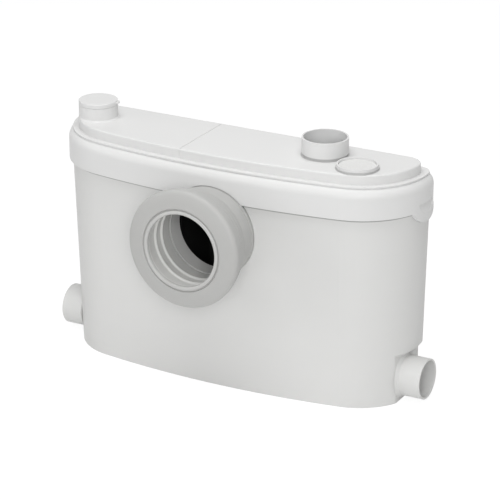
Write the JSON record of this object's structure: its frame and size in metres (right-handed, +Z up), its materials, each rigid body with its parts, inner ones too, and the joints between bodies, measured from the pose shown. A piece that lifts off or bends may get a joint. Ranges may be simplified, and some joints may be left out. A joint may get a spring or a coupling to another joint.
{
  "type": "grey water pump",
  "caption": "Slim light grey lifting pump with a rubber pan inlet on the front, a pipe socket on each end and connections on a lift-off lid.",
  "frame": {"origin": "middle of the tank's flat base, on the floor plane", "axes": "+Z up, +X along the tank towards the discharge end, -Y out of the front through the pan inlet, back wall at +Y"},
  "size_m": [0.4424, 0.179, 0.2818],
  "materials": {
    "tank_plastic": "satin light grey",
    "lid_plastic": "satin light grey",
    "cap_plastic": "satin light grey",
    "filter_foam": "fine open foam, grey",
    "sleeve_rubber": "matt grey",
    "seal_rubber": "matt black",
    "basket_plastic": "black, moulded",
    "pump_plastic": "black, moulded",
    "motor_paint": "satin",
    "steel": "bright",
    "stator_iron": "laminated",
    "copper": "varnished winding",
    "pipe_plastic": "grey, moulded",
    "switch_plastic": "black",
    "capacitor_shell": "drawn",
    "terminal_plastic": "ivory"
  },
  "bodies": {
    "tank": {"tank": "tank_plastic", "pan_sleeve": "sleeve_rubber", "basket": "basket_plastic", "pump_feet": "seal_rubber", "volute": "pump_plastic", "pump_cover": "pump_plastic", "pump_screws": "steel", "motor_bracket": "pump_plastic", "shaft_seal": "seal_rubber", "motor_end_plate": "motor_paint", "motor_can": "motor_paint", "stator": "stator_iron", "stator_windings": "copper", "lower_bearing": "steel", "upper_bearing": "steel", "pump_elbow": "pump_plastic", "valve_body": "pipe_plastic", "valve_pin": "steel", "riser_pipe": "pipe_plastic", "riser_sleeve": "seal_rubber", "hose_clips": "steel", "flap_pin_right": "steel", "flap_pin_left": "steel", "service_deck": "pump_plastic", "deck_screws": "steel", "dip_tube": "pipe_plastic", "pressure_chamber": "pipe_plastic", "membrane": "seal_rubber", "switch_frame": "pump_plastic", "switch_spring": "steel", "microswitch": "switch_plastic", "capacitor": "capacitor_shell", "capacitor_clip": "steel", "terminal_block": "terminal_plastic", "cable_gland": "seal_rubber"},
    "lid": {"lid": "lid_plastic", "lid_gasket": "seal_rubber", "vent_filter": "filter_foam"},
    "cap": {"inlet_cap": "cap_plastic"},
    "rotor": {"motor_shaft": "steel", "rotor_core": "stator_iron", "impeller": "pipe_plastic", "cutter_blade": "steel", "blade_collar": "steel"},
    "flap_right": {"inlet_flap_right": "seal_rubber"},
    "flap_left": {"inlet_flap_left": "seal_rubber"},
    "check_flap": {"discharge_flap": "seal_rubber"},
    "plunger": {"switch_plunger": "pipe_plastic"},
    "lever": {"switch_lever": "steel"}
  },
  "joints": [
    {"name": "lid_lift", "type": "slide", "parent": "tank", "child": "lid", "axis": [0, 0, 1], "range_m": [0, 0.15]},
    {"name": "cap_pull", "type": "slide", "parent": "lid", "child": "cap", "axis": [0, 0, 1], "range_m": [0, 0.06]},
    {"name": "rotor_spin", "type": "hinge", "parent": "tank", "child": "rotor", "pos_m": [0.092, 0, 0.1], "axis": [0, 0, 1], "continuous": true},
    {"name": "inlet_flap_right_swing", "type": "hinge", "parent": "tank", "child": "flap_right", "pos_m": [0.1881, 0.02, 0.0517], "axis": [0, 1, 0], "range_deg": [0, 35]},
    {"name": "inlet_flap_left_swing", "type": "hinge", "parent": "tank", "child": "flap_left", "pos_m": [-0.1881, 0.02, 0.0517], "axis": [0, -1, 0], "range_deg": [0, 35]},
    {"name": "check_flap_swing", "type": "hinge", "parent": "tank", "child": "check_flap", "pos_m": [0.1353, 0, 0.0724], "axis": [0, -1, 0], "range_deg": [0, 40]},
    {"name": "plunger_rise", "type": "slide", "parent": "tank", "child": "plunger", "axis": [0, 0, 1], "range_m": [0, 0.0025], "stiffness_N_per_m": 150, "springref_m": -0.002, "deforming": ["switch_spring"]},
    {"name": "lever_tip", "type": "hinge", "parent": "tank", "child": "lever", "pos_m": [-0.112, 0.016, 0.2388], "axis": [0, -1, 0], "range_deg": [0, 8]}
  ],
  "couplings": [
    {"joint": "lever_tip", "follows": "plunger_rise", "rad_per_m": 52}
  ]
}
